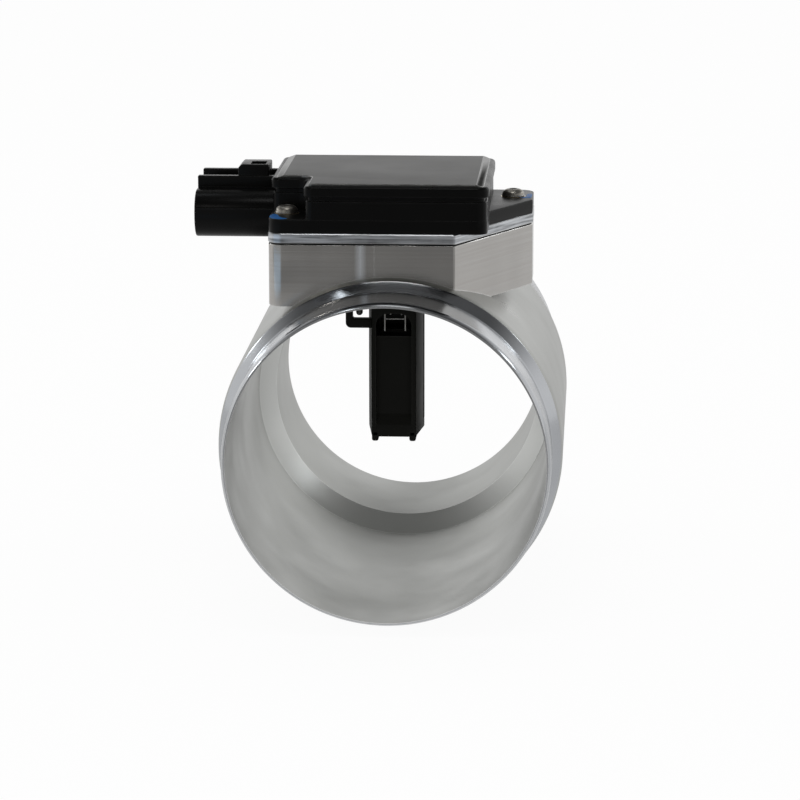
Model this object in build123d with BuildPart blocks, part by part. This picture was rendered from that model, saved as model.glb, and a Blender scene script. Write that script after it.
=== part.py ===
from build123d import *
import os

# Mass airflow sensor in a machined aluminium tube.
# Units are millimetres. +Z is up, +Y runs along the air flow, from the inlet to the outlet.
# The origin is on the bore axis, at the middle of the inlet hose spigot.

# Duct: the turned body, and the steps from it down to the spigots and into the bore
body_radius = 48.6
shoulder_step = 0.45
spigot_step = 2.9
lip_step = 0.65
spigot_wall = 1.25
bore_step = 4.45

# Duct: lengths along the flow, in order from the inlet lip
nose_length = 2.0
inlet_spigot_length = 16.0
shoulder_length = 3.5
body_edge_length = 2.4
body_length = 92.0
outlet_spigot_length = 28.6
inlet_bore_length = 102.3
bore_neck_length = 8.0

# Mounting pad, plate and gasket: one outline, a rectangle with two opposite corners cut
flange_width = 73.2
flange_depth = 59.8
flange_offset = 2.2
flange_front = 25.5
corner_cut_width = 20.8
corner_cut_depth = 40.5
square_corner_radius = 4.0
cut_corner_radius = 0.9
pad_top = 57.6
pad_bottom = 40.0
gasket_thickness = 0.35
gasket_inset = 0.5
plate_thickness = 2.8
plate_overhang = 0.15

# Root plug of the sampling tube, and the opening for it through pad, gasket and plate
plug_width = 27.5
plug_depth = 20.0
plug_corner_radius = 4.0
plug_offset = -3.25
plug_length = 14.0
opening_clearance = 0.3
seal_width = 1.6
seal_height = 1.2
seal_margin = 1.5

# Screws, one at each square corner of the flange, in metal bushings
screw_left_inset = 4.4
screw_right_inset = 5.8
screw_depth_inset = 12.6
screw_radius = 1.9
screw_length = 18.0
tapped_hole_radius = 2.0
tapped_hole_depth = 13.0
head_radius = 3.3
head_height = 2.2
head_dome_radius = 1.7
socket_radius = 1.25
socket_depth = 1.1
bushing_radius = 3.6
bushing_bore_radius = 2.2

# Moulded sensor housing, from the base flange up to the frame round the lid
ear_reach = 11.8
housing_wall = 2.6
ear_thickness = 3.9
floor_thickness = 2.0
wall_height = 9.1
groove_height = 1.1
groove_depth = 0.7
frame_height = 3.05
frame_overhang = 0.45
frame_edge_radius = 1.0
housing_corner_radius = 3.0
notch_width = 10.5
notch_depth = 16.4
notch_corner_radius = 3.0
notch_edge_radius = 2.0
lid_seal_inset = 0.5
lid_seal_width = 0.8
lid_seal_height = 0.6

# Lid, let into the frame
lid_recess_depth = 1.6
lid_recess_inset = 0.9
lid_clearance = 0.05
lid_rise = 0.7
lid_bevel_width = 2.2

# Connector, moulded on the left of the housing
connector_width = 38.0
connector_height = 13.6
connector_length = 23.1
connector_rise = 1.15
connector_wall = 1.6
connector_root = 5.6
connector_gap = 0.7
connector_end_radius = 6.6
rib_thickness = 2.4
rib_height = 3.3
rib_setbacks = (10.2, 24.4)
tower_length = 8.9
tower_width = 10.8
tower_height = 6.5
tower_gap = 2.6
tower_setback = 11.2
tower_slope = 1.0
window_length = 4.4
window_width = 6.0
window_depth = 2.6
window_wall = 1.0

# Terminals
terminal_count = 6
terminal_pitch = 3.3
terminal_margin = 0.35
terminal_width = 1.5
terminal_thickness = 0.8
terminal_reach = 10.0
terminal_step = 3.0
terminal_rise = 4.5
terminal_tail = 5.6

# Sampling tube
probe_offset = -0.4
probe_setback = -7.4
probe_depth = 15.5
probe_front_width = 12.7
probe_rear_width = 16.3
probe_bottom = -2.1
probe_shoulder = 34.5
recess_width = 10.2
recess_depth = 2.4
recess_bottom = 1.4
recess_slope = 3.0
pocket_bottom = 27.1
pocket_top = 34.1
pocket_arch_radius = 3.6
channel_width = 8.0
channel_depth = 5.2
cover_thickness = 1.8
cover_bottom = 0.5
leg_width = 1.9
leg_length = 7.0
leg_height = 1.2
cage_bar = 2.0
cage_depth = 3.0
cage_reach = 14.0
cage_bottom = 29.3
cage_foot_height = 2.7
cage_setback = 2.6
cage_corner_radius = 1.5

# Sensing parts
prong_radius = 0.32
prong_offset = -0.1
prong_spacings = (5.9, 3.2)
prong_setbacks = (1.9, 6.6)
prong_bottoms = (28.6, 32.4)
hot_wire_radius = 0.14
hot_wire_level = 32.2
cold_wire_radius = 0.3
cold_wire_level = 33.1
bead_radius = 1.0
bead_height = 2.6
bead_bottom = 32.8
bead_rounding = 0.8
bead_reach = 10.1
lead_radius = 0.25
lead_spacing = 1.0

# Electronics inside the housing
spreader_gap = 2.1
spreader_setback = 3.3
spreader_thickness = 1.2
spreader_side_margin = 5.1
spreader_rear_margin = 1.3
board_border = 0.8
board_thickness = 0.8
chip_size = 7.0
chip_height = 1.4
chip_inset = 12.5
component_length = 2.0
component_width = 1.25
component_height = 0.9
component_columns = 4
component_rows = 3
component_pitch_x = 4.4
component_pitch_y = 5.6
component_inset = 10.2
jumper_width = 0.6
jumper_thickness = 0.2
jumper_foot = 1.0
stand_off = 1.6

# Radii of the turned profile
shoulder_radius = body_radius - shoulder_step
spigot_radius = body_radius - spigot_step
lip_radius = spigot_radius - lip_step
inlet_bore_radius = spigot_radius - spigot_wall
outlet_bore_radius = inlet_bore_radius - bore_step

# Stations along the flow
lip_y = -(nose_length + inlet_spigot_length / 2)
spigot_start = lip_y + nose_length
spigot_end = spigot_start + inlet_spigot_length
shoulder_end = spigot_end + shoulder_length
body_start = shoulder_end + body_edge_length
body_end = body_start + body_length
outlet_shoulder = body_end + body_edge_length
outlet_spigot_start = outlet_shoulder + shoulder_length
outlet_spigot_end = outlet_spigot_start + outlet_spigot_length
outlet_y = outlet_spigot_end + nose_length
neck_start = lip_y + inlet_bore_length
neck_end = neck_start + bore_neck_length

# Levels above the bore axis
plate_bottom = pad_top + gasket_thickness
plate_top = plate_bottom + plate_thickness
plug_bottom = plate_top - plug_length
floor_top = plate_top + floor_thickness
ear_top = plate_top + ear_thickness
wall_top = plate_top + wall_height
frame_bottom = wall_top + groove_height
frame_top = frame_bottom + frame_height
ledge_level = frame_top - lid_recess_depth
lid_top = frame_top + lid_rise
connector_z = plate_top + connector_rise
connector_top = connector_z + connector_height / 2
terminal_level = connector_z + terminal_rise
tail_top = terminal_level + terminal_thickness / 2
spreader_top = floor_top + spreader_thickness
board_top = spreader_top + board_thickness
lead_top = board_top + stand_off

# Places in plan
front_y = lip_y + flange_front
flange_y = front_y + flange_depth / 2
rear_y = front_y + flange_depth
flange_left = flange_offset - flange_width / 2
flange_right = flange_offset + flange_width / 2
housing_width = flange_width - ear_reach
housing_x = flange_left + housing_width / 2
connector_mouth = flange_left - connector_length
connector_floor = flange_left - connector_root
terminal_tip = connector_floor - terminal_reach
terminal_bend = connector_floor + terminal_step
tail_end = flange_left + terminal_tail
probe_front = flange_y + probe_setback
probe_rear = probe_front + probe_depth
cover_front = probe_rear - cover_thickness
plug_y = (probe_front + probe_rear) / 2
cage_left = probe_offset - cage_reach
cage_front = probe_front + cage_setback
bead_x = probe_offset - bead_reach
bead_y = cage_front + cage_depth / 2
seal_ring_inset = lid_recess_inset + lid_seal_inset
screw_points = [
    (flange_left + screw_left_inset, front_y + screw_depth_inset),
    (flange_right - screw_right_inset, rear_y - screw_depth_inset),
]
lead_points = [(bead_x - lead_spacing / 2, bead_y), (bead_x + lead_spacing / 2, bead_y)]
prong_rows = [
    [(prong_offset - spacing / 2, probe_front + setback), (prong_offset + spacing / 2, probe_front + setback)]
    for spacing, setback in zip(prong_spacings, prong_setbacks)
]

# The board lies between the prongs and the rear wall, and the connector is level with its front
spreader_left = tail_end + spreader_gap
spreader_right = flange_left + housing_width - housing_wall - spreader_side_margin
spreader_front = prong_rows[-1][0][1] + spreader_setback
spreader_rear = rear_y - housing_wall - spreader_rear_margin
spreader_x = (spreader_left + spreader_right) / 2
spreader_y = (spreader_front + spreader_rear) / 2
spreader_width = spreader_right - spreader_left
spreader_depth = spreader_rear - spreader_front
board_width = spreader_width - 2 * board_border
board_depth = spreader_depth - 2 * board_border
board_left = spreader_left + board_border
board_right = spreader_right - board_border
board_front = spreader_front + board_border
terminal_ys = [board_front + terminal_margin + i * terminal_pitch for i in range(terminal_count)]
connector_y = (terminal_ys[0] + terminal_ys[-1]) / 2
connector_near = connector_y - connector_width / 2
probe_spread = (probe_rear_width - probe_front_width) / 2 / probe_depth

os.makedirs("parts", exist_ok=True)


def flange_outline(grow):
    """Outline of pad, gasket and plate, grown outwards by a small amount."""
    half_width = flange_width / 2 + grow
    half_depth = flange_depth / 2 + grow
    with BuildSketch() as outline:
        with BuildLine():
            Polyline(
                (-half_width, -half_depth),
                (half_width - corner_cut_width, -half_depth),
                (half_width, corner_cut_depth - half_depth),
                (half_width, half_depth),
                (corner_cut_width - half_width, half_depth),
                (-half_width, half_depth - corner_cut_depth),
                close=True,
            )
        make_face()
        fillet(outline.vertices().sort_by(lambda v: v.X * v.Y)[:-2], cut_corner_radius)
        fillet(outline.vertices().sort_by(lambda v: v.X * v.Y)[-2:], square_corner_radius)
    return outline.sketch.moved(Location((flange_offset, flange_y)))


def plug_outline(grow):
    """Outline of the sampling tube's root plug, grown outwards by a clearance."""
    with BuildSketch() as outline:
        with Locations((plug_offset, plug_y)):
            RectangleRounded(plug_width + 2 * grow, plug_depth + 2 * grow, plug_corner_radius + grow)
    return outline.sketch


def box_outline(inset):
    """Outline of the electronics box, notched for the left screw and moved inwards by inset."""
    left = flange_left + inset
    right = flange_left + housing_width - inset
    front = front_y + inset
    back = rear_y - inset
    notch_right = flange_left + notch_width + inset
    notch_back = front_y + notch_depth + inset
    edge_radius = max(notch_edge_radius - inset, cut_corner_radius)
    corner_radius = max(housing_corner_radius - inset, cut_corner_radius)
    with BuildSketch() as outline:
        with BuildLine():
            Polyline(
                (notch_right, front),
                (right, front),
                (right, back),
                (left, back),
                (left, notch_back),
                (notch_right, notch_back),
                close=True,
            )
        make_face()
        for corner, radius in (
            ((notch_right, notch_back), notch_corner_radius + inset),
            ((left, notch_back), edge_radius),
            ((notch_right, front), edge_radius),
            ((right, front), corner_radius),
            ((right, back), corner_radius),
            ((left, back), corner_radius),
        ):
            fillet(outline.vertices().sort_by_distance(corner)[0], radius)
    return outline.sketch


def probe_slice(y_from, y_to):
    """Part of the sampling tube's tapered section that lies between two stations."""
    half_from = probe_front_width / 2 + probe_spread * (y_from - probe_front)
    half_to = probe_front_width / 2 + probe_spread * (y_to - probe_front)
    with BuildSketch() as outline:
        with BuildLine():
            Polyline(
                (probe_offset - half_from, y_from),
                (probe_offset + half_from, y_from),
                (probe_offset + half_to, y_to),
                (probe_offset - half_to, y_to),
                close=True,
            )
        make_face()
    return outline.sketch


def jumper_profile(start, end):
    """Side view of a flat jumper with a foot on each end, as (distance, level) points."""
    lower = [start, (start[0] + jumper_foot, start[1]), (end[0] - jumper_foot, end[1]), end]
    upper = [(distance, level + jumper_thickness) for distance, level in reversed(lower)]
    with BuildSketch() as profile:
        with BuildLine():
            Polyline(*lower, *upper, close=True)
        make_face()
    return profile.sketch


# Tube: turned outside, pad, stepped bore, opening and tapped holes
with BuildPart() as air_tube:
    with BuildSketch():
        with BuildLine():
            Polyline(
                (0, lip_y),
                (lip_radius, lip_y),
                (spigot_radius, spigot_start),
                (spigot_radius, spigot_end),
                (shoulder_radius, shoulder_end),
                (body_radius, body_start),
                (body_radius, body_end),
                (shoulder_radius, outlet_shoulder),
                (spigot_radius, outlet_spigot_start),
                (spigot_radius, outlet_spigot_end),
                (lip_radius, outlet_y),
                (0, outlet_y),
                close=True,
            )
        make_face()
    revolve(axis=Axis.Y)
    with BuildSketch(Plane.XY.offset(pad_bottom)):
        add(flange_outline(0))
    extrude(amount=pad_top - pad_bottom)
    with BuildSketch():
        with BuildLine():
            Polyline(
                (0, lip_y),
                (inlet_bore_radius, lip_y),
                (inlet_bore_radius, neck_start),
                (outlet_bore_radius, neck_end),
                (outlet_bore_radius, outlet_y),
                (0, outlet_y),
                close=True,
            )
        make_face()
    revolve(axis=Axis.Y, mode=Mode.SUBTRACT)
    with BuildSketch(Plane.XY.offset(pad_top)):
        add(plug_outline(opening_clearance))
    extrude(amount=-pad_top, mode=Mode.SUBTRACT)
    with Locations([(x, y, pad_top) for x, y in screw_points]):
        Hole(tapped_hole_radius, depth=tapped_hole_depth)
air_tube.part.label = "air_tube"

# Flat gasket between pad and plate
with BuildPart() as base_gasket:
    with BuildSketch(Plane.XY.offset(pad_top)):
        add(flange_outline(-gasket_inset))
        add(plug_outline(opening_clearance), mode=Mode.SUBTRACT)
        with Locations(screw_points):
            Circle(bushing_bore_radius, mode=Mode.SUBTRACT)
    extrude(amount=gasket_thickness)
base_gasket.part.label = "base_gasket"

# Metal plate under the sensor, with a groove for the seal ring
with BuildPart() as adapter_plate:
    with BuildSketch(Plane.XY.offset(plate_bottom)):
        add(flange_outline(plate_overhang))
        add(plug_outline(opening_clearance), mode=Mode.SUBTRACT)
        with Locations(screw_points):
            Circle(bushing_bore_radius, mode=Mode.SUBTRACT)
    extrude(amount=plate_thickness)
    with BuildSketch(Plane.XY.offset(plate_top)):
        add(plug_outline(seal_margin + seal_width))
        add(plug_outline(seal_margin), mode=Mode.SUBTRACT)
    extrude(amount=-seal_height, mode=Mode.SUBTRACT)
adapter_plate.part.label = "adapter_plate"

# Seal ring in the plate's groove
with BuildPart() as housing_seal:
    with BuildSketch(Plane.XY.offset(plate_top)):
        add(plug_outline(seal_margin + seal_width))
        add(plug_outline(seal_margin), mode=Mode.SUBTRACT)
    extrude(amount=-seal_height)
housing_seal.part.label = "housing_seal"

# Metal bushings that take the screws' load in the housing's ears
with BuildPart() as ear_bushings:
    with BuildSketch(Plane.XY.offset(plate_top)):
        with Locations(screw_points):
            Circle(bushing_radius)
            Circle(bushing_bore_radius, mode=Mode.SUBTRACT)
    extrude(amount=ear_thickness)
ear_bushings.part.label = "ear_bushings"

# Dome-headed screws with a hexagon socket
with BuildPart() as mounting_screws:
    with BuildSketch(Plane.XY.offset(ear_top)):
        with Locations(screw_points):
            Circle(head_radius)
    extrude(amount=head_height)
    fillet(mounting_screws.edges().group_by(Axis.Z)[-1], head_dome_radius)
    with BuildSketch(Plane.XY.offset(ear_top + head_height)):
        with Locations(screw_points):
            RegularPolygon(socket_radius, 6)
    extrude(amount=-socket_depth, mode=Mode.SUBTRACT)
    with BuildSketch(Plane.XY.offset(ear_top)):
        with Locations(screw_points):
            Circle(screw_radius)
    extrude(amount=-screw_length)
mounting_screws.part.label = "mounting_screws"

# Bent terminals: blade in the connector, step up through the wall, tail inside the box
with BuildPart() as connector_terminals:
    half = terminal_thickness / 2
    for y in terminal_ys:
        with BuildSketch(Plane.XZ.offset(-y)):
            with BuildLine():
                Polyline(
                    (terminal_tip, connector_z - half),
                    (terminal_bend + half, connector_z - half),
                    (terminal_bend + half, terminal_level - half),
                    (tail_end, terminal_level - half),
                    (tail_end, terminal_level + half),
                    (terminal_bend - half, terminal_level + half),
                    (terminal_bend - half, connector_z + half),
                    (terminal_tip, connector_z + half),
                    close=True,
                )
            make_face()
        extrude(amount=terminal_width / 2, both=True)
    chamfer(connector_terminals.faces().group_by(Axis.X)[0].edges().filter_by(Axis.Y), half / 2)
connector_terminals.part.label = "connector_terminals"

# Sensing prongs: four rods from the pocket up into the electronics box
with BuildPart() as sensing_prongs:
    for row, bottom in zip(prong_rows, prong_bottoms):
        with BuildSketch(Plane.XY.offset(bottom)):
            with Locations(row):
                Circle(prong_radius)
        extrude(amount=lead_top - bottom)
sensing_prongs.part.label = "sensing_prongs"

# Heated wire between the front prongs
with BuildPart() as hot_wire:
    with BuildSketch(Plane.YZ.offset(prong_rows[0][0][0])):
        with Locations((prong_rows[0][0][1], hot_wire_level)):
            Circle(hot_wire_radius)
    extrude(amount=prong_spacings[0])
    add(sensing_prongs.part, mode=Mode.SUBTRACT)
hot_wire.part.label = "hot_wire"

# Reference element between the rear prongs
with BuildPart() as cold_wire:
    with BuildSketch(Plane.YZ.offset(prong_rows[1][0][0])):
        with Locations((prong_rows[1][0][1], cold_wire_level)):
            Circle(cold_wire_radius)
    extrude(amount=prong_spacings[1])
    add(sensing_prongs.part, mode=Mode.SUBTRACT)
cold_wire.part.label = "cold_wire"

# Air temperature bead, hanging beside the sampling tube
with BuildPart() as thermistor_bead:
    with BuildSketch(Plane.XY.offset(bead_bottom)):
        with Locations((bead_x, bead_y)):
            Circle(bead_radius)
    extrude(amount=bead_height)
    fillet(thermistor_bead.edges().filter_by(GeomType.CIRCLE), bead_rounding)
thermistor_bead.part.label = "thermistor_bead"

# The bead's two wire leads
with BuildPart() as thermistor_leads:
    with BuildSketch(Plane.XY.offset(lead_top)):
        with Locations(lead_points):
            Circle(lead_radius)
    extrude(amount=bead_bottom + bead_height / 2 - lead_top)
    add(thermistor_bead.part, mode=Mode.SUBTRACT)
thermistor_leads.part.label = "thermistor_leads"

# Sampling tube: root plug, neck, tapered body with recess, pocket and channel, legs and cage
with BuildPart() as sampling_tube:
    with BuildSketch(Plane.XY.offset(plug_bottom)):
        add(plug_outline(0))
    extrude(amount=plug_length)
    with BuildSketch(Plane.XY.offset(probe_shoulder)):
        with Locations((probe_offset, plug_y)):
            Rectangle(probe_front_width, probe_depth)
    extrude(amount=plug_bottom - probe_shoulder)
    with BuildSketch(Plane.XY.offset(cover_bottom)):
        add(probe_slice(probe_front, cover_front))
    extrude(amount=probe_shoulder - cover_bottom)
    with BuildSketch(Plane.XY.offset(probe_bottom)):
        add(probe_slice(probe_front, probe_rear))
    extrude(amount=cover_bottom - probe_bottom)
    leg_x = (probe_front_width - leg_width) / 2
    with BuildSketch(Plane.XY.offset(probe_bottom)):
        with Locations((probe_offset - leg_x, probe_front), (probe_offset + leg_x, probe_front)):
            Rectangle(leg_width, leg_length, align=(Align.CENTER, Align.MIN))
    extrude(amount=-leg_height)
    # cage: an L-shaped bar that guards the bead
    with BuildSketch(Plane.XZ.offset(-cage_front)) as cage:
        with BuildLine():
            Polyline(
                (cage_left, plug_bottom),
                (cage_left, cage_bottom),
                (probe_offset, cage_bottom),
                (probe_offset, cage_bottom + cage_foot_height),
                (cage_left + cage_bar, cage_bottom + cage_foot_height),
                (cage_left + cage_bar, plug_bottom),
                close=True,
            )
        make_face()
        fillet(cage.vertices().sort_by_distance((cage_left, cage_bottom))[0], cage_corner_radius)
    extrude(amount=-cage_depth)
    # shallow recess in the front face, with a sloping foot
    with BuildSketch(Plane.YZ.offset(probe_offset - recess_width / 2)):
        with BuildLine():
            Polyline(
                (probe_front, recess_bottom),
                (probe_front + recess_depth, recess_bottom + recess_slope),
                (probe_front + recess_depth, pocket_bottom),
                (probe_front, pocket_bottom),
                close=True,
            )
        make_face()
    extrude(amount=recess_width, mode=Mode.SUBTRACT)
    # arched pocket for the sensing wires, open to the channel behind it
    with BuildSketch(Plane.XZ.offset(-probe_front)) as pocket:
        with Locations((probe_offset, pocket_bottom)):
            Rectangle(recess_width, pocket_top - pocket_bottom, align=(Align.CENTER, Align.MIN))
        fillet(pocket.vertices().group_by(Axis.Y)[-1], pocket_arch_radius)
    extrude(amount=probe_front - cover_front, mode=Mode.SUBTRACT)
    with BuildSketch(Plane.XY.offset(probe_bottom)):
        with Locations((probe_offset, cover_front)):
            Rectangle(channel_width, channel_depth, align=(Align.CENTER, Align.MAX))
    extrude(amount=pocket_bottom - probe_bottom, mode=Mode.SUBTRACT)
    add(sensing_prongs.part, mode=Mode.SUBTRACT)
    add(thermistor_leads.part, mode=Mode.SUBTRACT)
sampling_tube.part.label = "sampling_tube"

# Cover that closes the back of the sampling tube
with BuildPart() as bypass_cover:
    with BuildSketch(Plane.XY.offset(cover_bottom)):
        add(probe_slice(cover_front, probe_rear))
    extrude(amount=probe_shoulder - cover_bottom)
bypass_cover.part.label = "bypass_cover"

# Sensor housing: base flange with ears, box, frame, connector, latch tower and ribs
with BuildPart() as sensor_housing:
    with BuildSketch(Plane.XY.offset(plate_top)):
        add(flange_outline(0))
        with Locations((housing_x, flange_y)):
            RectangleRounded(housing_width, flange_depth, square_corner_radius)
    extrude(amount=ear_thickness)
    with BuildSketch(Plane.XY.offset(plate_top)):
        add(box_outline(0))
    extrude(amount=wall_height)
    with BuildSketch(Plane.XY.offset(wall_top)):
        add(box_outline(groove_depth))
    extrude(amount=groove_height)
    with BuildSketch(Plane.XY.offset(frame_bottom)):
        add(box_outline(-frame_overhang))
    extrude(amount=frame_height)
    fillet(sensor_housing.faces().sort_by(Axis.Z)[-1].edges(), frame_edge_radius)
    with BuildSketch(Plane.XY.offset(ledge_level)):
        add(box_outline(lid_recess_inset))
    extrude(amount=lid_recess_depth, mode=Mode.SUBTRACT)
    with BuildSketch(Plane.XY.offset(floor_top)):
        add(box_outline(housing_wall))
    extrude(amount=ledge_level - floor_top, mode=Mode.SUBTRACT)
    with BuildSketch(Plane.XY.offset(ledge_level)):
        add(box_outline(seal_ring_inset))
        add(box_outline(seal_ring_inset + lid_seal_width), mode=Mode.SUBTRACT)
    extrude(amount=-lid_seal_height, mode=Mode.SUBTRACT)
    # connector: oval shroud on a solid root, kept clear of the plate below
    with BuildSketch(Plane.YZ.offset(connector_mouth)):
        with Locations((connector_y, connector_z)):
            RectangleRounded(connector_width, connector_height, connector_end_radius)
    extrude(amount=connector_length)
    with BuildSketch(Plane.YZ.offset(connector_mouth)):
        with Locations((connector_y, connector_z)):
            RectangleRounded(
                connector_width - 2 * connector_wall,
                connector_height - 2 * connector_wall,
                connector_end_radius - connector_wall,
            )
    extrude(amount=connector_length - connector_root, mode=Mode.SUBTRACT)
    with BuildSketch(Plane.XY.offset(plate_top)):
        with Locations((flange_left, flange_y)):
            Rectangle(connector_gap, 2 * flange_depth, align=(Align.MAX, Align.CENTER))
    extrude(amount=-connector_height, mode=Mode.SUBTRACT)
    # two key ribs on top of the connector
    with BuildSketch(Plane.XY.offset(connector_top - connector_wall)):
        with Locations([(flange_left, connector_near + setback) for setback in rib_setbacks]):
            Rectangle(connector_length, rib_thickness, align=(Align.MAX, Align.MIN))
    extrude(amount=connector_wall + rib_height)
    # latch tower with a sloping shoulder and a window in its top
    tower_x = flange_left - tower_gap
    tower_y = connector_near + tower_setback
    with BuildSketch(Plane.XZ.offset(-tower_y)):
        with BuildLine():
            Polyline(
                (tower_x - tower_length, connector_top - connector_wall),
                (tower_x, connector_top - connector_wall),
                (tower_x, connector_top + tower_height),
                (tower_x - tower_length + tower_slope, connector_top + tower_height),
                (tower_x - tower_length, connector_top + tower_height - tower_slope),
                close=True,
            )
        make_face()
    extrude(amount=-tower_width)
    with BuildSketch(Plane.XY.offset(connector_top + tower_height)):
        with Locations((tower_x - window_wall, tower_y + window_wall)):
            Rectangle(window_length, window_width, align=(Align.MAX, Align.MIN))
    extrude(amount=-window_depth, mode=Mode.SUBTRACT)
    # room for the pieces moulded into the housing, and for the screws
    add(ear_bushings.part, mode=Mode.SUBTRACT)
    add(connector_terminals.part, mode=Mode.SUBTRACT)
    add(sensing_prongs.part, mode=Mode.SUBTRACT)
    add(thermistor_leads.part, mode=Mode.SUBTRACT)
    with BuildSketch(Plane.XY.offset(plate_top)):
        with Locations(screw_points):
            Circle(bushing_bore_radius)
    extrude(amount=ear_thickness, mode=Mode.SUBTRACT)
sensor_housing.part.label = "sensor_housing"

# Seal under the lid
with BuildPart() as lid_seal:
    with BuildSketch(Plane.XY.offset(ledge_level)):
        add(box_outline(seal_ring_inset))
        add(box_outline(seal_ring_inset + lid_seal_width), mode=Mode.SUBTRACT)
    extrude(amount=-lid_seal_height)
lid_seal.part.label = "lid_seal"

# Lid, bevelled along its left and right edges
with BuildPart() as lid:
    with BuildSketch(Plane.XY.offset(ledge_level)):
        add(box_outline(lid_recess_inset + lid_clearance))
    extrude(amount=lid_top - ledge_level)
    lid_box = lid.part.bounding_box()
    with BuildSketch(Plane.XZ.offset(-lid_box.min.Y)):
        for edge_x, turn in ((lid_box.min.X, 1), (lid_box.max.X, -1)):
            with BuildLine():
                Polyline(
                    (edge_x, lid_top),
                    (edge_x + turn * lid_bevel_width, lid_top),
                    (edge_x, lid_top - lid_rise),
                    close=True,
                )
            make_face()
    extrude(amount=-flange_depth, mode=Mode.SUBTRACT)
lid.part.label = "lid"

# Heat spreader on the floor of the box
with BuildPart() as heat_spreader:
    with BuildSketch(Plane.XY.offset(floor_top)):
        with Locations((spreader_x, spreader_y)):
            Rectangle(spreader_width, spreader_depth)
    extrude(amount=spreader_thickness)
heat_spreader.part.label = "heat_spreader"

# Circuit board on the spreader
with BuildPart() as circuit_board:
    with BuildSketch(Plane.XY.offset(spreader_top)):
        with Locations((spreader_x, spreader_y)):
            Rectangle(board_width, board_depth)
    extrude(amount=board_thickness)
circuit_board.part.label = "circuit_board"

# Control chip
with BuildPart() as control_chip:
    with BuildSketch(Plane.XY.offset(board_top)):
        with Locations((board_left + chip_inset, spreader_y)):
            Rectangle(chip_size, chip_size)
    extrude(amount=chip_height)
control_chip.part.label = "control_chip"

# Small components in a grid
with BuildPart() as board_components:
    with BuildSketch(Plane.XY.offset(board_top)):
        with Locations((board_right - component_inset, spreader_y)):
            with GridLocations(component_pitch_x, component_pitch_y, component_columns, component_rows):
                Rectangle(component_length, component_width)
    extrude(amount=component_height)
board_components.part.label = "board_components"

# Jumpers from the terminals' tails to the board
with BuildPart() as terminal_jumpers:
    for y in terminal_ys:
        with BuildSketch(Plane.XZ.offset(-y)):
            add(jumper_profile((tail_end - jumper_foot, tail_top), (board_left + jumper_foot, board_top)))
        extrude(amount=jumper_width / 2, both=True)
terminal_jumpers.part.label = "terminal_jumpers"

# Jumpers from the prongs and the bead's leads to the board
with BuildPart() as sensor_jumpers:
    for x, y in prong_rows[0] + prong_rows[1] + lead_points:
        with BuildSketch(Plane.YZ.offset(x)):
            add(jumper_profile((y - prong_radius, lead_top), (board_front + jumper_foot, board_top)))
        extrude(amount=jumper_width / 2, both=True)
sensor_jumpers.part.label = "sensor_jumpers"

pieces = [
    air_tube, base_gasket, adapter_plate, housing_seal, ear_bushings, mounting_screws,
    connector_terminals, sensing_prongs, hot_wire, cold_wire, thermistor_bead, thermistor_leads,
    sampling_tube, bypass_cover, sensor_housing, lid_seal, lid, heat_spreader, circuit_board,
    control_chip, board_components, terminal_jumpers, sensor_jumpers,
]
for piece in pieces:
    export_step(piece.part, f"parts/{piece.part.label}.step")
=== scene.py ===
"""Looks of a mass airflow sensor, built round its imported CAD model.

All sizes of pieces are in millimetres in the model's frame: +Y along the air flow, +Z up,
origin on the bore axis at the middle of the inlet spigot. Meshes are written in metres.
"""

import logging
import math
from dataclasses import dataclass
from enum import Enum
from functools import cached_property

import bmesh
import bpy
from mathutils import Matrix, Vector


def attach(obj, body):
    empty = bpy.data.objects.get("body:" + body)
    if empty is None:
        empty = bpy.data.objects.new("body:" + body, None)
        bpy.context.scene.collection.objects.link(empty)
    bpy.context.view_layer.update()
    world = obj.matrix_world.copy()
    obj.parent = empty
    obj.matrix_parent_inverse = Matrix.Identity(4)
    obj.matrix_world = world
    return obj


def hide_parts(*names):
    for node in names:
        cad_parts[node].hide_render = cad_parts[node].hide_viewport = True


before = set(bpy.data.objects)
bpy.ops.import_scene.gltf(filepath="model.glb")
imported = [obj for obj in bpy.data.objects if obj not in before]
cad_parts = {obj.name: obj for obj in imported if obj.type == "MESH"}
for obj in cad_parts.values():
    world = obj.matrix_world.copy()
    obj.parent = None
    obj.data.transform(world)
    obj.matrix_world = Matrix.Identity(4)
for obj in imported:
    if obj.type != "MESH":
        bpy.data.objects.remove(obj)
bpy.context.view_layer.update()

LOG = logging.getLogger("airflow_sensor")
MM = 0.001
BODY = "root"

Point = tuple[float, float, float]
Flat = tuple[float, float]
Colour = tuple[float, float, float]
Piece = bpy.types.Object
Socket = bpy.types.NodeSocket
Tree = bpy.types.NodeTree


class Facing(Enum):
    """Plane in which an outline is drawn; its levels run along the third axis."""

    XY = "xy"
    YZ = "yz"
    XZ = "xz"

    def place(self, u: float, v: float, level: float) -> Point:
        """Return the point for outline place (u, v) at a level."""
        if self is Facing.XY:
            return (u, v, level)
        if self is Facing.YZ:
            return (level, u, v)
        return (u, level, v)


class Join(Enum):
    """How one solid is combined with another."""

    ADD = "UNION"
    CUT = "DIFFERENCE"


class Marks(Enum):
    """Tool marks on a metal surface."""

    TURNED = "turned"
    MILLED = "milled"
    BLASTED = "blasted"


@dataclass(frozen=True)
class Corner:
    """A corner of an outline, with its rounding."""

    u: float
    v: float
    radius: float = 0.1


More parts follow.
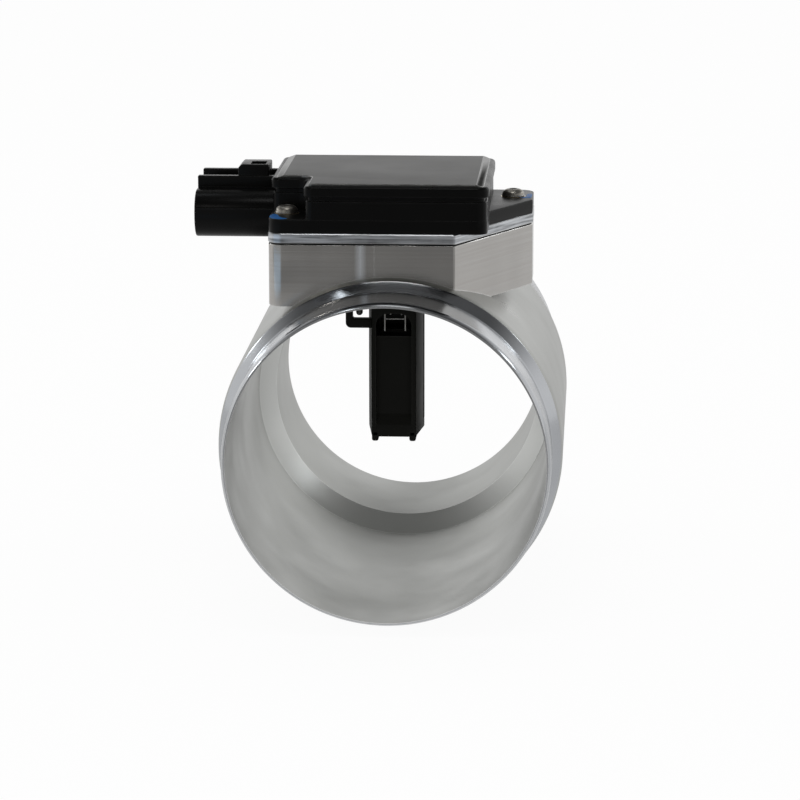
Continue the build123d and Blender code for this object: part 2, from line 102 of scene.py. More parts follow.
def shifted_corners(corners: list[Corner], inset: float) -> list[Corner]:
    """Move an outline's sides inwards.

    Args:
        corners: outline corners, counter-clockwise.
        inset: distance inwards; negative grows the outline.

    Returns:
        The corners of the moved outline, with roundings that stay concentric.
    """
    moved = []
    count = len(corners)
    for i, here in enumerate(corners):
        before, after = corners[i - 1], corners[(i + 1) % count]
        a = Vector((here.u - before.u, here.v - before.v)).normalized()
        b = Vector((after.u - here.u, after.v - here.v)).normalized()
        normal_a, normal_b = Vector((-a.y, a.x)), Vector((-b.y, b.x))
        turn = a.x * b.y - a.y * b.x
        start = Vector((here.u, here.v)) + normal_a * inset
        other = Vector((here.u, here.v)) + normal_b * inset
        gap = other - start
        along = (gap.x * b.y - gap.y * b.x) / turn
        place = start + a * along
        radius = here.radius - inset if turn > 0 else here.radius + inset
        moved.append(Corner(place.x, place.y, max(radius, 0.04)))
    return moved


def rounded_outline(corners: list[Corner], inset: float = 0.0, steps: int = 6) -> list[Flat]:
    """Draw an outline with an arc at each corner.

    Args:
        corners: outline corners, counter-clockwise.
        inset: distance the sides are moved inwards.
        steps: straight pieces in each arc.

    Returns:
        Outline points, the same number for every inset.
    """
    points = []
    moved = shifted_corners(corners, inset)
    count = len(moved)
    for i, here in enumerate(moved):
        before, after = moved[i - 1], moved[(i + 1) % count]
        centre = Vector((here.u, here.v))
        back = (Vector((before.u, before.v)) - centre).normalized()
        ahead = (Vector((after.u, after.v)) - centre).normalized()
        half = back.angle(ahead) / 2
        reach = here.radius / math.tan(half)
        middle = centre + (back + ahead).normalized() * (here.radius / math.sin(half))
        start, end = centre + back * reach - middle, centre + ahead * reach - middle
        sweep = start.angle_signed(end)
        for k in range(steps + 1):
            turned = start.copy()
            turned.rotate(Matrix.Rotation(-sweep * k / steps, 2))
            points.append((middle.x + turned.x, middle.y + turned.y))
    return points


def rectangle(u0: float, v0: float, u1: float, v1: float, radius: float = 0.1) -> list[Corner]:
    """Return a rectangle's corners, counter-clockwise."""
    return [Corner(u0, v0, radius), Corner(u1, v0, radius), Corner(u1, v1, radius), Corner(u0, v1, radius)]


def rounded_levels(low: float, high: float, foot: float = 0.0, top: float = 0.0, steps: int = 3) -> list[Flat]:
    """List the (level, inset) pairs of a prism with rounded end edges.

    Args:
        low: first level.
        high: last level.
        foot: rounding at the first level.
        top: rounding at the last level.
        steps: straight pieces in each rounding.

    Returns:
        Pairs of level and inset.
    """
    arc = [math.pi / 2 * k / steps for k in range(steps + 1)]
    levels = [(low, 0.0)]
    if foot:
        levels = [(low + foot * (1 - math.cos(a)), foot * (1 - math.sin(a))) for a in arc]
    if top:
        levels += [(high - top * (1 - math.sin(a)), top * (1 - math.cos(a))) for a in arc]
    else:
        levels.append((high, 0.0))
    return levels


def mesh_object(name: str, points: list[Point], faces: list[tuple[int, ...]]) -> Piece:
    """Make an object from points in millimetres and faces, with its normals outwards.

    Args:
        name: name of the piece.
        points: mesh points in millimetres.
        faces: point numbers of each face.

    Returns:
        The new object, linked to the scene.
    """
    mesh = bpy.data.meshes.new(name)
    mesh.from_pydata([Vector(p) * MM for p in points], [], faces)
    shape = bmesh.new()
    shape.from_mesh(mesh)
    bmesh.ops.recalc_face_normals(shape, faces=shape.faces)
    shape.to_mesh(mesh)
    shape.free()
    piece = bpy.data.objects.new(name, mesh)
    bpy.context.scene.collection.objects.link(piece)
    return piece


def loft(name: str, rings: list[list[Point]]) -> Piece:
    """Join rings of equally many points into one closed solid with flat ends."""
    count = len(rings[0])
    faces = [
        (r * count + k, r * count + (k + 1) % count, (r + 1) * count + (k + 1) % count, (r + 1) * count + k)
        for r in range(len(rings) - 1)
        for k in range(count)
    ]
    last = (len(rings) - 1) * count
    faces += [tuple(range(count)), tuple(range(last, last + count))]
    return mesh_object(name, [point for ring in rings for point in ring], faces)


def prism(name: str, corners: list[Corner], facing: Facing, levels: list[Flat], steps: int = 6) -> Piece:
    """Stack insets of an outline into a solid.

    Args:
        name: name of the piece.
        corners: outline corners, counter-clockwise.
        facing: plane of the outline.
        levels: pairs of level and inset.
        steps: straight pieces in each corner.

    Returns:
        The solid.
    """
    rings = [
        [facing.place(u, v, level) for u, v in rounded_outline(corners, inset, steps)] for level, inset in levels
    ]
    return loft(name, rings)


def lathe(name: str, profile: list[Flat], centre: Flat, upright: bool, segments: int) -> Piece:
    """Turn a closed profile about an axis.

    Args:
        name: name of the piece.
        profile: closed loop of (radius, level) points; radius 0 is allowed.
        centre: where the axis stands, in the plane square to it.
        upright: True turns about Z, False about Y.
        segments: straight pieces round the circle.

    Returns:
        The turned solid.
    """
    points, rows = [], []
    for radius, level in profile:
        row = []
        for k in range(segments if radius > 0 else 1):
            angle = 2 * math.pi * k / segments
            u, v = centre[0] + radius * math.cos(angle), centre[1] + radius * math.sin(angle)
            row.append(len(points))
            points.append((u, v, level) if upright else (u, level, v))
        rows.append(row if radius > 0 else row * segments)
    faces = []
    for a, b in zip(rows, rows[1:] + rows[:1]):
        for k in range(segments):
            ring = [a[k], a[(k + 1) % segments], b[(k + 1) % segments], b[k]]
            face = tuple(dict.fromkeys(ring))
            if len(face) > 2:
                faces.append(face)
    return mesh_object(name, points, faces)


def combine(body: Piece, tool: Piece, how: Join) -> Piece:
    """Add a solid to a body or cut it out of it, and remove the tool.

    Args:
        body: the solid that is kept.
        tool: the solid that is used up.
        how: add or cut.

    Returns:
        The body with its new mesh.
    """
    step = body.modifiers.new("combine", "BOOLEAN")
    step.operation = how.value
    step.solver = "EXACT"
    step.object = tool
    bpy.context.view_layer.update()
    graph = bpy.context.evaluated_depsgraph_get()
    mesh = bpy.data.meshes.new_from_object(body.evaluated_get(graph))
    body.modifiers.clear()
    body.data = mesh
    bpy.data.objects.remove(tool)
    return body


def join_prism(
    body: Piece, how: Join, corners: list[Corner], facing: Facing, levels: list[Flat], steps: int = 6
) -> None:
    """Add a prism to a body or cut it out of it.

    Args:
        body: the solid that is kept.
        how: add or cut.
        corners: the prism's outline, counter-clockwise.
        facing: plane of the outline.
        levels: pairs of level and inset.
        steps: straight pieces in each corner.
    """
    combine(body, prism("tool", corners, facing, levels, steps), how)


def soften(piece: Piece, width: float, segments: int = 2, angle: float = 35.0) -> None:
    """Round a piece's sharp edges.

    Args:
        piece: the solid.
        width: width of the rounding in millimetres.
        segments: straight pieces across the rounding.
        angle: smallest turn in degrees that counts as an edge.
    """
    shape = bmesh.new()
    shape.from_mesh(piece.data)
    bmesh.ops.remove_doubles(shape, verts=shape.verts, dist=2e-6)
    bmesh.ops.dissolve_limit(shape, angle_limit=math.radians(0.5), verts=shape.verts, edges=shape.edges)
    shape.to_mesh(piece.data)
    shape.free()
    step = piece.modifiers.new("soften", "BEVEL")
    step.width = width * MM
    step.segments = segments
    step.limit_method = "ANGLE"
    step.angle_limit = math.radians(angle)
    step.use_clamp_overlap = True
    bpy.context.view_layer.update()
    graph = bpy.context.evaluated_depsgraph_get()
    piece.data = bpy.data.meshes.new_from_object(piece.evaluated_get(graph))
    piece.modifiers.clear()


def finish_piece(
    piece: Piece, materials: list[bpy.types.Material], nodes: list[str], angle: float = 32.0
) -> Piece:
    """Dress a piece and tie it to the model.

    Args:
        piece: the piece.
        materials: its materials, in slot order.
        nodes: CAD nodes that it stands for.
        angle: turn in degrees above which an edge stays sharp.

    Returns:
        The piece.
    """
    if not piece.data.materials:
        for material in materials:
            piece.data.materials.append(material)
    piece.data.shade_smooth()
    piece.data.set_sharp_from_angle(angle=math.radians(angle))
    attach(piece, BODY)
    if nodes:
        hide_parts(*nodes)
    LOG.info("%s: %d faces, stands for %s", piece.name, len(piece.data.polygons), ", ".join(nodes) or "none")
    return piece


def feed(tree: Tree, value: object, socket: Socket) -> None:
    """Link a socket to an input, or set the input to a plain value; None leaves it alone."""
    if isinstance(value, Socket):
        tree.links.new(value, socket)
    elif value is not None:
        socket.default_value = value


def calc(tree: Tree, kind: str, first: object, second: object = None) -> Socket:
    """Add a math node.

    Args:
        tree: the node tree.
        kind: the node's operation.
        first: a socket or a number.
        second: a socket or a number; None leaves it alone.

    Returns:
        The node's result.
    """
    node = tree.nodes.new("ShaderNodeMath")
    node.operation = kind
    feed(tree, first, node.inputs[0])
    feed(tree, second, node.inputs[1])
    return node.outputs[0]


def noise(tree: Tree, place: Socket, scale: object, detail: float = 2.0) -> Socket:
    """Add a noise texture at a place and return its value, from 0 to 1."""
    node = tree.nodes.new("ShaderNodeTexNoise")
    node.inputs["Detail"].default_value = detail
    feed(tree, place, node.inputs["Vector"])
    feed(tree, scale, node.inputs["Scale"])
    return node.outputs["Fac"]


def object_place(tree: Tree) -> Socket:
    """Return the place in the object's own coordinates, in metres."""
    return tree.nodes.new("ShaderNodeTexCoord").outputs["Object"]


def split_axes(tree: Tree, place: Socket) -> dict[str, Socket]:
    """Split a place or direction into its X, Y and Z."""
    node = tree.nodes.new("ShaderNodeSeparateXYZ")
    tree.links.new(place, node.inputs[0])
    return {axis: node.outputs[axis] for axis in "XYZ"}


class Effects:
    """Shader node groups that several finishes share. Each is built once."""

    LATTICE_SHIFT = 0.37
    WAVE_STRETCH = (1.0, 1.0, 0.06)
    WEAR_GAIN = 9.0

    def group(self, name: str, inputs: dict[str, float], outputs: list[str]) -> Tree:
        """Make an empty group with float sockets.

        Args:
            name: name of the group.
            inputs: input names and their start values.
            outputs: output names.

        Returns:
            The group, with its input and output nodes in place.
        """
        tree = bpy.data.node_groups.new(name, "ShaderNodeTree")
        for label, value in inputs.items():
            tree.interface.new_socket(label, in_out="INPUT", socket_type="NodeSocketFloat").default_value = value
        for label in outputs:
            tree.interface.new_socket(label, in_out="OUTPUT", socket_type="NodeSocketFloat")
        tree.nodes.new("NodeGroupInput").name = "in"
        tree.nodes.new("NodeGroupOutput").name = "out"
        return tree

    @cached_property
    def mottle(self) -> Tree:
        """Soft cloudy change over a surface. Outputs Value, centred on 0, and fine Grain from 0 to 1."""
        tree = self.group("mottle", {"Size": 40.0, "Grain Size": 900.0}, ["Value", "Grain"])
        given, results = tree.nodes["in"].outputs, tree.nodes["out"].inputs
        place = object_place(tree)
        feed(tree, calc(tree, "SUBTRACT", noise(tree, place, given["Size"], 4.0), 0.5), results["Value"])
        feed(tree, noise(tree, place, given["Grain Size"]), results["Grain"])
        return tree

    @cached_property
    def tool_marks(self) -> Tree:
        """Fine lines left by a cutter. Axis weights choose the direction in which they repeat."""
        tree = self.group("tool_marks", {"X": 0.0, "Y": 1.0, "Z": 0.0, "Pitch": 3000.0, "Stretch": 6.0}, ["Lines"])
        given = tree.nodes["in"].outputs
        join = tree.nodes.new("ShaderNodeCombineXYZ")
        for axis, value in split_axes(tree, object_place(tree)).items():
            scale = calc(tree, "ADD", calc(tree, "MULTIPLY", given[axis], given["Pitch"]), given["Stretch"])
            across = calc(tree, "MULTIPLY", value, scale)
            feed(tree, calc(tree, "ADD", across, self.LATTICE_SHIFT), join.inputs[axis])
        feed(tree, noise(tree, join.outputs[0], 1.0, 3.0), tree.nodes["out"].inputs["Lines"])
        return tree

    @cached_property
    def waves(self) -> Tree:
        """Wide upright waves, as a hand-finished face has them."""
        tree = self.group("waves", {"Size": 60.0}, ["Height"])
        drawn = tree.nodes.new("ShaderNodeMapping")
        drawn.inputs["Scale"].default_value = self.WAVE_STRETCH
        feed(tree, object_place(tree), drawn.inputs["Vector"])
        height = noise(tree, drawn.outputs["Vector"], tree.nodes["in"].outputs["Size"], 1.0)
        feed(tree, height, tree.nodes["out"].inputs["Height"])
        return tree

    @cached_property
    def painted_streak(self) -> Tree:
        """Mask that is 1 on an upright streak of painted reflection at one X and fades to both sides."""
        tree = self.group("painted_streak", {"Place": 0.0, "Half Width": 0.002}, ["Mask"])
        given = tree.nodes["in"].outputs
        apart = calc(tree, "SUBTRACT", split_axes(tree, object_place(tree))["X"], given["Place"])
        share = calc(tree, "DIVIDE", calc(tree, "ABSOLUTE", apart), given["Half Width"])
        mask = calc(tree, "MAXIMUM", calc(tree, "SUBTRACT", 1.0, share), 0.0)
        feed(tree, mask, tree.nodes["out"].inputs["Mask"])
        return tree

    @cached_property
    def edge_wear(self) -> Tree:
        """Mask that is 1 on rubbed edges and 0 on flats."""
        tree = self.group("edge_wear", {"Width": 0.0006, "Patches": 260.0}, ["Mask"])
        given = tree.nodes["in"].outputs
        bevel = tree.nodes.new("ShaderNodeBevel")
        feed(tree, given["Width"], bevel.inputs["Radius"])
        dot = tree.nodes.new("ShaderNodeVectorMath")
        dot.operation = "DOT_PRODUCT"
        feed(tree, bevel.outputs["Normal"], dot.inputs[0])
        feed(tree, tree.nodes.new("ShaderNodeNewGeometry").outputs["Normal"], dot.inputs[1])
        strong = calc(tree, "MULTIPLY", calc(tree, "SUBTRACT", 1.0, dot.outputs["Value"]), self.WEAR_GAIN)
        patchy = calc(tree, "MULTIPLY", strong, noise(tree, object_place(tree), given["Patches"]))
        feed(tree, calc(tree, "MINIMUM", patchy, 1.0), tree.nodes["out"].inputs["Mask"])
        return tree


EFFECTS = Effects()


class MaterialSheet:
    """A material under construction, with short ways to add and join nodes."""

    def __init__(self, name: str) -> None:
        """Start a material that holds only a Principled shader and its output."""
        self.material = bpy.data.materials.new(name)
        self.material.use_nodes = True
        self.tree = self.material.node_tree
        self.shader = self.tree.nodes["Principled BSDF"]

    def effect(self, group: Tree, values: dict[str, float]) -> bpy.types.Node:
        """Place a shared effect with its own values."""
        node = self.tree.nodes.new("ShaderNodeGroup")
        node.node_tree = group
        for label, value in values.items():
            node.inputs[label].default_value = value
        return node

    def blend(self, mask: Socket, low: Colour | Socket, high: Colour) -> Socket:
        """Mix a colour, or a socket that carries one, with a plain colour by a mask."""
        mix = self.tree.nodes.new("ShaderNodeMix")
        mix.data_type = "RGBA"
        feed(self.tree, low if isinstance(low, Socket) else (*low, 1.0), mix.inputs["A"])
        feed(self.tree, (*high, 1.0), mix.inputs["B"])
        feed(self.tree, mask, mix.inputs["Factor"])
        return mix.outputs["Result"]

    def spread(self, value: Socket, middle: float, amount: float) -> Socket:
        """Turn a value centred on 0 into one centred on a middle."""
        node = self.tree.nodes.new("ShaderNodeMath")
        node.operation = "MULTIPLY_ADD"
        node.use_clamp = True
        node.inputs[1].default_value = amount
        node.inputs[2].default_value = middle
        self.tree.links.new(value, node.inputs[0])
        return node.outputs[0]

    def bump(self, height: Socket, strength: float, distance: float) -> Socket:
        """Return a normal raised by a height, in metres at full strength."""
        node = self.tree.nodes.new("ShaderNodeBump")
        node.inputs["Strength"].default_value = strength
        node.inputs["Distance"].default_value = distance
        self.tree.links.new(height, node.inputs["Height"])
        return node.outputs["Normal"]

    def feed(self, label: str, source: Socket) -> None:
        """Feed a socket of the shader."""
        self.tree.links.new(source, self.shader.inputs[label])


@dataclass(frozen=True)
class MetalFinish:
    """Bare metal with tool marks, cloudy tone, rubbed edges and optional painted reflection streaks."""

    name: str
    dark: Colour
    light: Colour
    roughness: float
    marks: Marks
    mark_axis: Point = (0.0, 1.0, 0.0)
    mark_strength: float = 0.15
    cloud_size: float = 45.0
    roughness_spread: float = 0.12
    edge: Colour = (0.85, 0.85, 0.84)
    pitch: float = 3600.0
    cloud_contrast: float = 1.2
    waviness: float = 0.0
    # Painted reflection streaks, as (X, half width) in millimetres, and their colour.
    painted_streaks: tuple[Flat, ...] = ()
    painted_streak_tone: Colour = (0.84, 0.87, 0.9)
    mark_stretch: float = 0.0
    mark_contrast: float = 0.0
    mark_tone: Colour = (0.8, 0.8, 0.8)
    mark_depth: float = 0.00004
    grain_size: float = 1400.0
    wear_width: float = 0.0005
    wear_patches: float = 300.0
    wave_size: float = 55.0
    wave_depth: float = 0.0009

    def make(self) -> bpy.types.Material:
        """Return the material."""
        sheet = MaterialSheet(self.name)
        cloud = sheet.effect(EFFECTS.mottle, {"Size": self.cloud_size, "Grain Size": self.grain_size})
        weights = dict(zip("XYZ", self.mark_axis))
        lines = sheet.effect(EFFECTS.tool_marks, {**weights, "Pitch": self.pitch, "Stretch": self.mark_stretch})
        wear = sheet.effect(EFFECTS.edge_wear, {"Width": self.wear_width, "Patches": self.wear_patches})
        tone = sheet.blend(sheet.spread(cloud.outputs["Value"], 0.5, self.cloud_contrast), self.dark, self.light)
        if self.mark_contrast:
            mask = sheet.spread(lines.outputs["Lines"], 0.5 - self.mark_contrast / 2, self.mark_contrast)
            tone = sheet.blend(mask, tone, self.mark_tone)
        # Painted reflection: each streak lays a lighter upright band into the base colour, standing for a bright
        # reflection on the face.
        for middle, half_width in self.painted_streaks:
            painted_streak = sheet.effect(EFFECTS.painted_streak, {"Place": middle * MM, "Half Width": half_width * MM})
            tone = sheet.blend(painted_streak.outputs["Mask"], tone, self.painted_streak_tone)
        sheet.feed("Base Color", sheet.blend(wear.outputs["Mask"], tone, self.edge))
        sheet.feed("Roughness", sheet.spread(cloud.outputs["Value"], self.roughness, self.roughness_spread))
        source = cloud.outputs["Grain"] if self.marks is Marks.BLASTED else lines.outputs["Lines"]
        fine = sheet.bump(source, self.mark_strength, self.mark_depth)
        if self.waviness:
            waves = sheet.effect(EFFECTS.waves, {"Size": self.wave_size})
            wide = sheet.bump(waves.outputs["Height"], self.waviness, self.wave_depth)
            sheet.tree.links.new(wide, fine.node.inputs["Normal"])
        sheet.feed("Normal", fine)
        sheet.shader.inputs["Metallic"].default_value = 1.0
        return sheet.material


@dataclass(frozen=True)
class PlasticFinish:
    """Moulded plastic with a fine spark-eroded grain and lighter rubbed edges."""

    name: str
    colour: Colour
    worn: Colour
    roughness: float
    grain_size: float = 2200.0
    grain_strength: float = 0.25
    wear_width: float = 0.0006
    specular: float = 0.5
    cloud_size: float = 70.0
    cloud_contrast: float = 1.5
    shade: float = 0.75
    roughness_spread: float = 0.2
    grain_depth: float = 0.00005
    wear_patches: float = 420.0

    def make(self) -> bpy.types.Material:
        """Return the material."""
        sheet = MaterialSheet(self.name)
        cloud = sheet.effect(EFFECTS.mottle, {"Size": self.cloud_size, "Grain Size": self.grain_size})
        wear = sheet.effect(EFFECTS.edge_wear, {"Width": self.wear_width, "Patches": self.wear_patches})
        darker = tuple(c * self.shade for c in self.colour)
        tone = sheet.blend(sheet.spread(cloud.outputs["Value"], 0.5, self.cloud_contrast), darker, self.colour)
        sheet.feed("Base Color", sheet.blend(wear.outputs["Mask"], tone, self.worn))
        sheet.feed("Roughness", sheet.spread(cloud.outputs["Value"], self.roughness, self.roughness_spread))
        sheet.feed("Normal", sheet.bump(cloud.outputs["Grain"], self.grain_strength, self.grain_depth))
        sheet.shader.inputs["Specular IOR Level"].default_value = self.specular
        return sheet.material


FINISHES: tuple[MetalFinish | PlasticFinish, ...] = (
    MetalFinish(
        "satin_tube", (0.3, 0.305, 0.291), (0.385, 0.39, 0.372), 0.34, Marks.TURNED,
        mark_strength=0.3, roughness_spread=0.3),
    MetalFinish(
        "bright_turned", (0.37, 0.382, 0.4), (0.48, 0.493, 0.51), 0.15, Marks.TURNED, mark_strength=0.5, pitch=2600.0,
        roughness_spread=0.06),
    # milled_pad gets one painted reflection streak at X = -8.4 mm, a lighter upright band on the pad's front.
    MetalFinish(
        "milled_pad", (0.43, 0.425, 0.412), (0.55, 0.543, 0.525), 0.18, Marks.MILLED, mark_axis=(0.0, 0.0, 1.0),
        mark_strength=0.28, pitch=1300.0, waviness=1.0, painted_streaks=((-8.4, 1.8),),
        mark_stretch=16.0, mark_contrast=0.9, mark_tone=(0.39, 0.372, 0.35)),
    MetalFinish(
        "plate_edge", (0.12, 0.123, 0.127), (0.36, 0.375, 0.39), 0.3, Marks.MILLED, mark_axis=(0.0, 0.0, 1.0),
        cloud_size=420.0, cloud_contrast=1.4, mark_strength=0.5, pitch=1800.0,
        mark_stretch=70.0, mark_contrast=3.2, mark_tone=(0.62, 0.64, 0.67)),
    MetalFinish(
        "lid_cast", (0.06, 0.06, 0.057), (0.078, 0.078, 0.074), 0.44, Marks.BLASTED, mark_strength=0.5,
        cloud_size=60.0),
    # lid_bevel_sheen is a lighter copy of the lid metal: painted sheen for the side bevels.
    MetalFinish(
        "lid_bevel_sheen", (0.1, 0.1, 0.097), (0.18, 0.18, 0.176), 0.32, Marks.BLASTED, cloud_size=300.0),
    MetalFinish(
        "step_turned", (0.64, 0.648, 0.63), (0.74, 0.748, 0.73), 0.4, Marks.TURNED, mark_strength=0.2,
        roughness_spread=0.1),
    MetalFinish(
        "screw_steel", (0.26, 0.245, 0.215), (0.36, 0.34, 0.305), 0.33, Marks.BLASTED, cloud_size=200.0,
        cloud_contrast=0.8),
    MetalFinish(
        "prong_steel", (0.2, 0.19, 0.17), (0.36, 0.345, 0.31), 0.34, Marks.BLASTED, cloud_size=700.0),
    MetalFinish(
        "bushing_brass", (0.5, 0.4, 0.22), (0.66, 0.54, 0.32), 0.3, Marks.TURNED, mark_axis=(0.0, 0.0, 1.0)),
    MetalFinish(
        "tinned_blade", (0.6, 0.58, 0.53), (0.75, 0.73, 0.68), 0.25, Marks.MILLED, mark_axis=(1.0, 0.0, 0.0)),
    PlasticFinish(
        "housing_black", (0.0022, 0.0022, 0.0021), (0.012, 0.012, 0.012), 0.29, specular=0.1),
    PlasticFinish(
        "probe_black", (0.014, 0.014, 0.012), (0.026, 0.026, 0.023), 0.42, specular=0.045),
    PlasticFinish(
        "seal_black", (0.008, 0.008, 0.008), (0.012, 0.012, 0.012), 0.7, specular=0.2),
    PlasticFinish(
        "bead_glaze", (0.02, 0.02, 0.018), (0.05, 0.05, 0.05), 0.2, grain_strength=0.05),
    PlasticFinish(
        "chip_black", (0.02, 0.02, 0.02), (0.06, 0.06, 0.06), 0.55),
    PlasticFinish(
        "board_ceramic", (0.62, 0.6, 0.55), (0.7, 0.68, 0.63), 0.55),
    PlasticFinish(
        "component_tan", (0.36, 0.28, 0.19), (0.5, 0.42, 0.3), 0.5),
    PlasticFinish(
        "paint_blue", (0.003, 0.08, 0.27), (0.012, 0.13, 0.34), 0.4, specular=0.12),
)
MATERIALS: dict[str, bpy.types.Material] = {}


@dataclass
class Flange:
    """The outline that pad, gasket, plate and housing base share."""

    left: float = -34.4
    right: float = 38.8
    front: float = 15.5
    back: float = 75.3
    cut_width: float = 20.8
    cut_depth: float = 40.5
    square_radius: float = 4.0
    cut_radius: float = 0.9

    def corners(self) -> list[Corner]:
        """Return the outline's corners, counter-clockwise from the front left."""
        return [
            Corner(self.left, self.front, self.square_radius),
            Corner(self.right - self.cut_width, self.front, self.cut_radius),
            Corner(self.right, self.front + self.cut_depth, self.cut_radius),
            Corner(self.right, self.back, self.square_radius),
            Corner(self.left + self.cut_width, self.back, self.cut_radius),
            Corner(self.left, self.back - self.cut_depth, self.cut_radius),
        ]


@dataclass
class Fasteners:
    """Places and sizes of the two screws."""

    places: tuple[Flat, ...] = ((-30.0, 28.1), (33.0, 62.7))
    shank: float = 1.9
    shank_length: float = 18.0
    tapped: float = 2.0
    tapped_depth: float = 13.0
    clearance: float = 2.2
    head: float = 3.3
    head_height: float = 2.2
    socket: float = 1.25
    socket_depth: float = 1.1
    bushing: float = 3.6
    dome: Flat = (2.1, 1.65)
    dome_steps: int = 7

    def drill(self, body: Piece, radius: float, low: float, high: float) -> None:
        """Cut a round hole at each screw."""
        for place in self.places:
            tool = lathe("drill", [(0, low), (radius, low), (radius, high), (0, high)], place, True, 32)
            combine(body, tool, Join.CUT)


@dataclass
class Opening:
    """The opening for the sampling tube's root plug."""

    centre: Flat = (-3.25, 45.75)
    width: float = 27.5
    depth: float = 20.0
    radius: float = 4.0
    clearance: float = 0.3

    def corners(self, grow: float) -> list[Corner]:
        """Return the outline's corners, grown outwards."""
        u, v = self.centre
        a, b = self.width / 2 + grow, self.depth / 2 + grow
        return rectangle(u - a, v - b, u + a, v + b, self.radius + grow)


@dataclass
class Duct:
    """The turned tube with its milled pad."""

    pad_low: float = 40.0
    pad_high: float = 57.6
    pad_core: float = 46.4
    pad_radius: float = 48.75
    segments: int = 240
    bright_until: float = 11.4
    bright_from: float = 108.4
    step: Flat = (92.2, 100.5)
    scribe: Flat = (-4.6, -4.44)
    profile: tuple[Flat, ...] = (
        (44.45, -10.0), (44.95, -10.0), (45.12, -9.75), (45.7, -8.0), (45.72, -7.5),
        (45.7, 7.55), (45.78, 7.9), (46.0, 8.2), (47.85, 11.05), (48.15, 11.5), (48.25, 11.85),
        (48.52, 13.5), (48.6, 14.3), (48.6, 60.0), (48.6, 105.5), (48.52, 106.3), (48.25, 107.95), (48.15, 108.3),
        (47.85, 108.75), (46.0, 111.6), (45.78, 111.9), (45.7, 112.25), (45.72, 139.9), (45.7, 140.4),
        (45.12, 142.15), (44.95, 142.4), (40.25, 142.4), (40.0, 142.15), (40.0, 100.6), (40.08, 100.25),
        (44.35, 92.45), (44.45, 92.1), (44.45, 40.0),
    )

    def build(self, flange: Flange, screws: Fasteners, opening: Opening) -> Piece:
        """Build the tube, add the pad, cut the opening and the tapped holes.

        Args:
            flange: outline of the pad.
            screws: places of the tapped holes.
            opening: the opening for the plug.

        Returns:
            The dressed piece.
        """
        tube = lathe("duct_tube", list(self.profile), (0.0, 0.0), False, self.segments)
        pad = prism("pad", flange.corners(), Facing.XY,
                    rounded_levels(self.pad_low, self.pad_high, 0.25, 0.35, 4), steps=12)
        line = rectangle(self.scribe[0], flange.front - 0.5, self.scribe[1], flange.front + 0.08, 0.03)
        join_prism(pad, Join.CUT, line, Facing.XY, [(45, 0), (58, 0)], 1)
        core_profile = [(0, -20), (self.pad_core, -20), (self.pad_core, 150), (0, 150)]
        core = lathe("core", core_profile, (0.0, 0.0), False, self.segments)
        combine(pad, core, Join.CUT)
        combine(tube, pad, Join.ADD)
        join_prism(tube, Join.CUT, opening.corners(opening.clearance), Facing.XY, [(30, 0), (70, 0)])
        screws.drill(tube, screws.tapped, self.pad_high - screws.tapped_depth, self.pad_high + 5)
        for name in ("satin_tube", "bright_turned", "milled_pad", "step_turned"):
            tube.data.materials.append(MATERIALS[name])
        for face in tube.data.polygons:
            x, y, z = (c / MM for c in face.center)
            radius = math.hypot(x, z)
            outward = face.normal.x * x + face.normal.z * z > -0.02 * radius
            end_band = y < self.bright_until or y > self.bright_from
            on_pad = flange.front - 0.1 < y < flange.back + 0.1 and radius > self.pad_radius and z > self.pad_low - 0.1
            on_step = self.step[0] < y < self.step[1] and not outward
            face.material_index = 3 if on_step else 2 if on_pad else 1 if end_band and outward else 0
        return finish_piece(tube, [], ["air_tube"], angle=24)


@dataclass
class MountingPlate:
    """The metal plate under the sensor."""

    low: float = 57.95
    high: float = 60.75
    overhang: float = 0.15
    edge: float = 0.3

    def build(self, flange: Flange, screws: Fasteners, opening: Opening) -> None:
        """Build the plate."""
        levels = [(self.low, self.edge * 0.5 - self.overhang), (self.low + self.edge * 0.5, -self.overhang),
                  (self.high - self.edge, -self.overhang), (self.high, self.edge - self.overhang)]
        plate = prism("mounting_plate", flange.corners(), Facing.XY, levels, steps=10)
        join_prism(plate, Join.CUT, opening.corners(opening.clearance), Facing.XY, [(50, 0), (70, 0)])
        screws.drill(plate, screws.clearance, self.low - 1, self.high + 1)
        finish_piece(plate, [MATERIALS["plate_edge"]], ["adapter_plate"])


